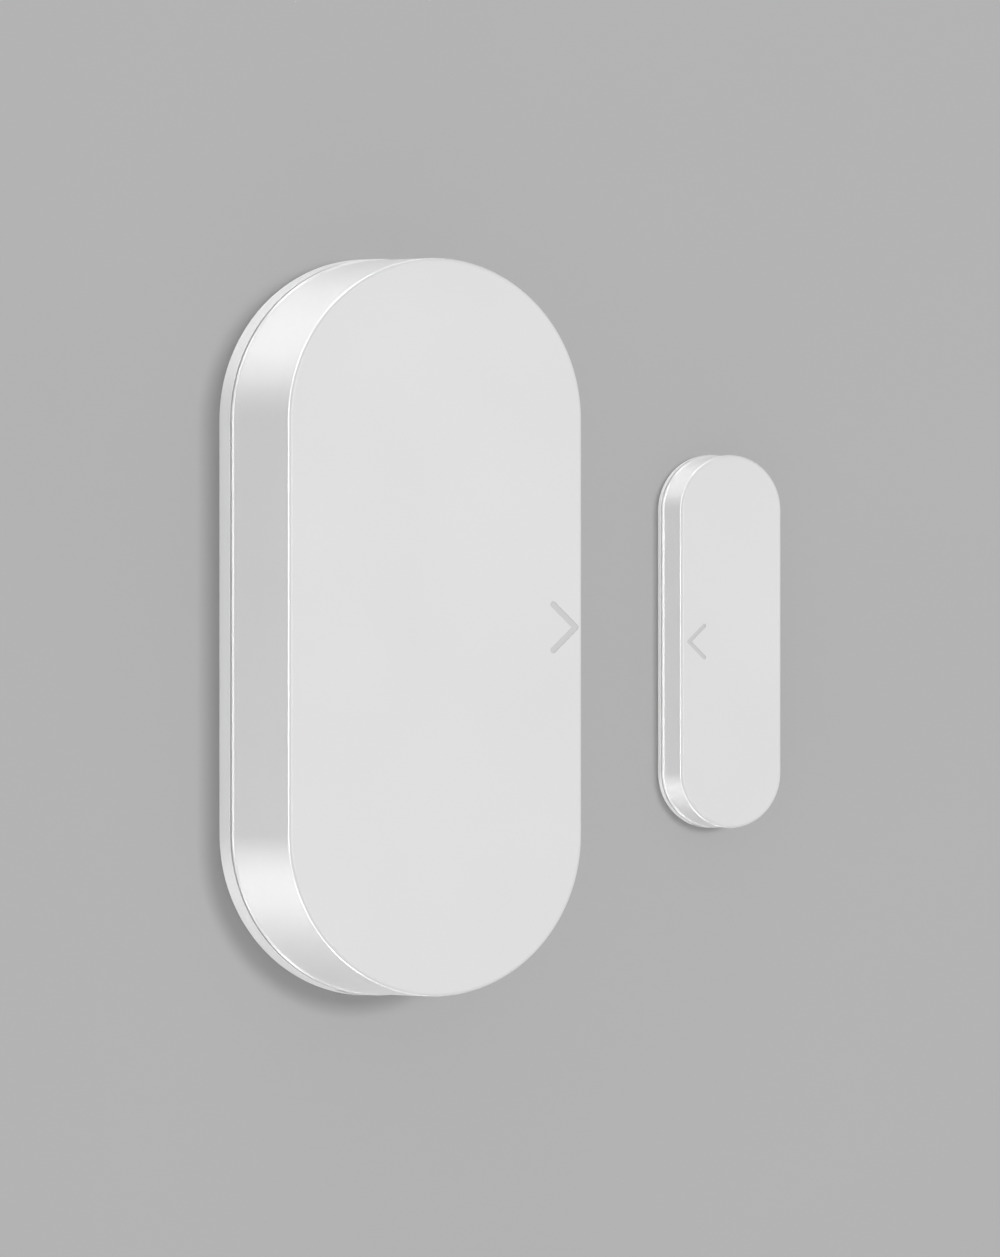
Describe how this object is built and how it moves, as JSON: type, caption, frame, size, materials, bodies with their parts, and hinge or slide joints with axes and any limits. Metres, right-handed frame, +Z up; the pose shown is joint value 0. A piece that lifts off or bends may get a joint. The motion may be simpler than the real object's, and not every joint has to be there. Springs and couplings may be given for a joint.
{
  "type": "door contact sensor",
  "caption": "Wall-mounted door and window contact sensor: a pill-shaped sensor unit with a removable cover over a circuit board, and a separate pill-shaped magnet unit beside it.",
  "frame": {"origin": "centre of the main unit's wall face, which is the back of its adhesive pad", "axes": "+Z up along the units' long axes, -Y out of the wall towards the room, +X from the main unit towards the magnet unit"},
  "size_m": [0.0584, 0.0167, 0.072],
  "materials": {
    "white_plastic": "satin",
    "base_plastic": "satin",
    "mark_grey": "satin",
    "button_white": "matte",
    "foam_tape": "matte",
    "solder_mask": "gloss",
    "black_plastic": "matte",
    "chip_black": "matte",
    "gasket_green": "matte",
    "capacitor_tan": "satin",
    "tantalum_yellow": "satin",
    "antenna_ceramic": "satin",
    "electrode_mix": "matte",
    "led_resin": "gloss",
    "reed_glass": "clear",
    "zinc_steel": "zinc plated",
    "spring_nickel": "nickel plated",
    "spring_gold": "gold plated",
    "cell_nickel": "nickel plated",
    "lead_alloy": "tinned",
    "shield_tin": "tin plated",
    "magnet_nickel": "nickel plated"
  },
  "bodies": {
    "sensor_base": {"base_plate": "base_plastic", "cover_snap_arms": "base_plastic", "adhesive_pad": "foam_tape", "circuit_board": "solder_mask", "radio_board": "solder_mask", "board_screws": "zinc_steel", "battery_positive_clip": "spring_nickel", "battery_negative_spring": "spring_gold", "battery_holder": "black_plastic", "button_housing": "black_plastic", "button_frame": "spring_nickel", "cell_can": "cell_nickel", "cell_cap": "cell_nickel", "cell_gasket": "gasket_green", "cell_electrodes": "electrode_mix", "reed_glass": "reed_glass", "reed_fixed_lead": "lead_alloy", "reed_moving_lead": "lead_alloy", "indicator_led": "led_resin", "radio_chip": "chip_black", "controller_chip": "chip_black", "chip_resistors": "chip_black", "radio_shield": "shield_tin", "clock_crystal": "shield_tin", "radio_antenna": "antenna_ceramic", "buffer_capacitor": "tantalum_yellow", "chip_capacitors": "capacitor_tan"},
    "cover": {"front_cover": "white_plastic", "cover_chevron": "mark_grey"},
    "reset_button": {"button_plunger": "button_white"},
    "switch_blade": {"reed_blade": "lead_alloy"},
    "magnet_unit": {"magnet_base": "base_plastic", "magnet_snap_arms": "base_plastic", "magnet_adhesive_pad": "foam_tape", "bar_magnet": "magnet_nickel"},
    "magnet_lid": {"magnet_cover": "white_plastic", "magnet_chevron": "mark_grey"}
  },
  "joints": [
    {"name": "cover_release", "type": "slide", "parent": "sensor_base", "child": "cover", "axis": [0, -1, 0], "range_m": [0, 0.06], "deforming": ["cover_snap_arms"]},
    {"name": "button_press", "type": "slide", "parent": "sensor_base", "child": "reset_button", "axis": [0, 1, 0], "range_m": [0, 0.00025], "stiffness_N_per_m": 4000, "springref_m": -0.0001},
    {"name": "leaf_travel", "type": "slide", "parent": "sensor_base", "child": "magnet_unit", "axis": [1, 0, 0], "range_m": [0, 0.02]},
    {"name": "magnet_cover_release", "type": "slide", "parent": "magnet_unit", "child": "magnet_lid", "axis": [0, -1, 0], "range_m": [0, 0.02], "deforming": ["magnet_snap_arms"]},
    {"name": "blade_opening", "type": "slide", "parent": "sensor_base", "child": "switch_blade", "axis": [0, -1, 0], "range_m": [0, 0.00007]}
  ],
  "couplings": [
    {"joint": "blade_opening", "follows": "leaf_travel", "ratio": 0.0035}
  ]
}
